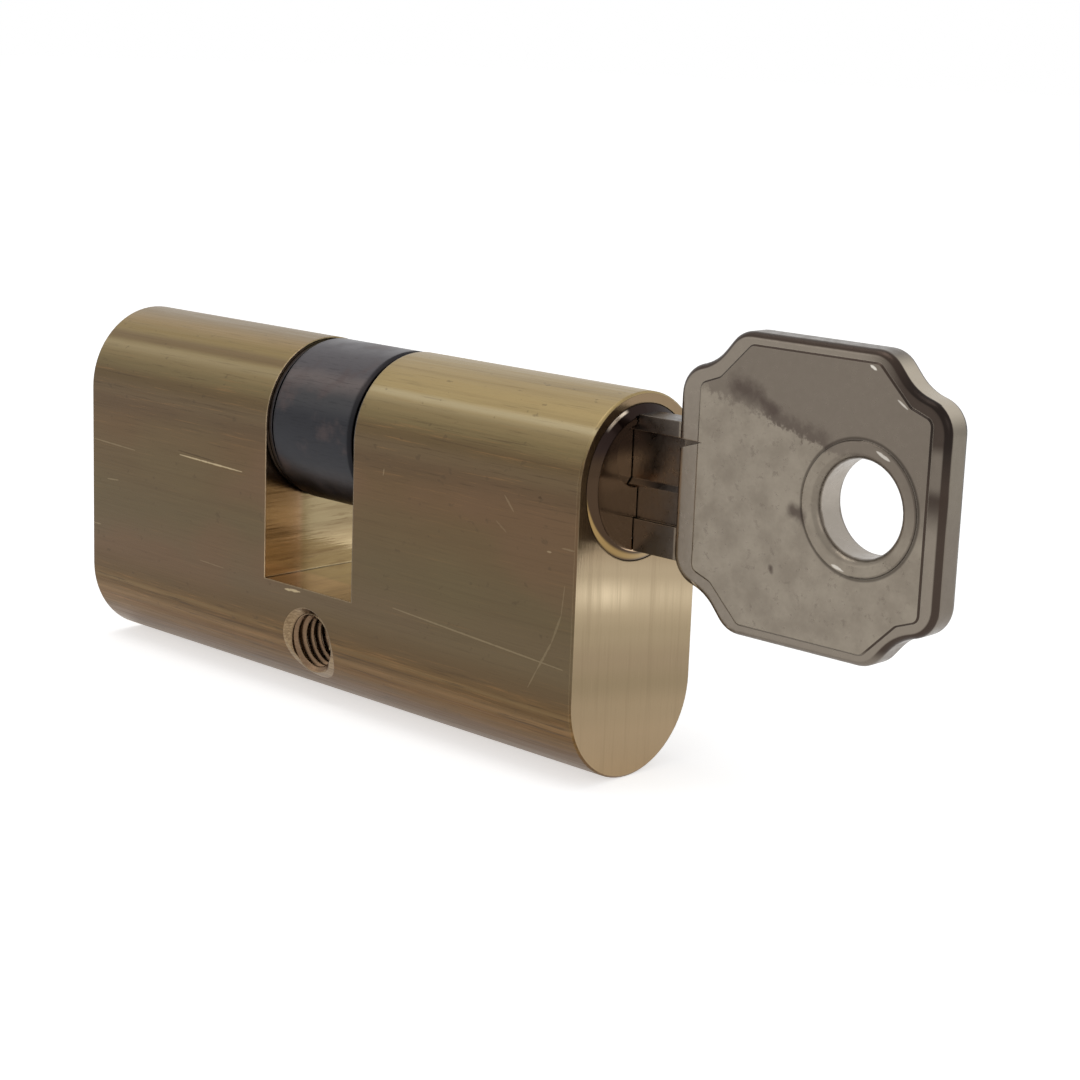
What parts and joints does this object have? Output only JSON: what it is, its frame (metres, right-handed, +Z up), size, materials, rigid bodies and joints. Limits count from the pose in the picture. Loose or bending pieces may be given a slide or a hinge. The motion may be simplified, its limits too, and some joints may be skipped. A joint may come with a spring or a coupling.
{
  "type": "oval profile lock cylinder",
  "caption": "Double lock cylinder of oval profile with a fixing hole, a turning cam and a grooved key in one plug.",
  "frame": {"origin": "centre of the fixing hole, in the middle of the body's width and length", "axes": "+X along both plugs towards the key, +Y across the oval along the fixing hole, away from the side that the picture shows, +Z up, from the fixing hole to the plugs"},
  "size_m": [0.088, 0.0195, 0.0357],
  "materials": {
    "body_brass": "drawn satin brass, lightly scratched",
    "plug_brass": "turned bright brass",
    "ring_steel": "blackened spring steel",
    "cam_steel": "dark oxide, satin",
    "coupler_steel": "plain machined steel",
    "key_nickel": "nickel-plated brass, satin, tarnished",
    "pin_brass": "turned brass",
    "stopper_brass": "turned brass, pressed in",
    "spring_wire": "bright drawn wire"
  },
  "bodies": {
    "housing": {"cylinder_body": "body_brass", "plug_far_side": "plug_brass", "circlip_far_side": "ring_steel", "coupler_far_side": "coupler_steel", "key_pin_b1": "pin_brass", "key_pin_b2": "pin_brass", "key_pin_b3": "pin_brass", "key_pin_b4": "pin_brass", "key_pin_b5": "pin_brass", "driver_pin_a1": "pin_brass", "pin_spring_a1": "spring_wire", "chamber_plug_a1": "stopper_brass", "driver_pin_a2": "pin_brass", "pin_spring_a2": "spring_wire", "chamber_plug_a2": "stopper_brass", "driver_pin_a3": "pin_brass", "pin_spring_a3": "spring_wire", "chamber_plug_a3": "stopper_brass", "driver_pin_a4": "pin_brass", "pin_spring_a4": "spring_wire", "chamber_plug_a4": "stopper_brass", "driver_pin_a5": "pin_brass", "pin_spring_a5": "spring_wire", "chamber_plug_a5": "stopper_brass", "driver_pin_b1": "pin_brass", "pin_spring_b1": "spring_wire", "chamber_plug_b1": "stopper_brass", "driver_pin_b2": "pin_brass", "pin_spring_b2": "spring_wire", "chamber_plug_b2": "stopper_brass", "driver_pin_b3": "pin_brass", "pin_spring_b3": "spring_wire", "chamber_plug_b3": "stopper_brass", "driver_pin_b4": "pin_brass", "pin_spring_b4": "spring_wire", "chamber_plug_b4": "stopper_brass", "driver_pin_b5": "pin_brass", "pin_spring_b5": "spring_wire", "chamber_plug_b5": "stopper_brass"},
    "plug": {"plug_key_side": "plug_brass", "circlip_key_side": "ring_steel", "coupler_key_side": "coupler_steel", "key_pin_a1": "pin_brass", "key_pin_a2": "pin_brass", "key_pin_a3": "pin_brass", "key_pin_a4": "pin_brass", "key_pin_a5": "pin_brass"},
    "cam": {"cam": "cam_steel"},
    "key": {"key": "key_nickel"}
  },
  "joints": [
    {"name": "plug_turn", "type": "hinge", "parent": "housing", "child": "plug", "pos_m": [0, 0, 0.0178], "axis": [1, 0, 0], "continuous": true},
    {"name": "cam_turn", "type": "hinge", "parent": "housing", "child": "cam", "pos_m": [0, 0, 0.0178], "axis": [1, 0, 0], "continuous": true},
    {"name": "key_slide", "type": "slide", "parent": "plug", "child": "key", "axis": [1, 0, 0], "range_m": [0, 0.03]}
  ],
  "couplings": [
    {"joint": "cam_turn", "follows": "plug_turn", "ratio": 1}
  ]
}
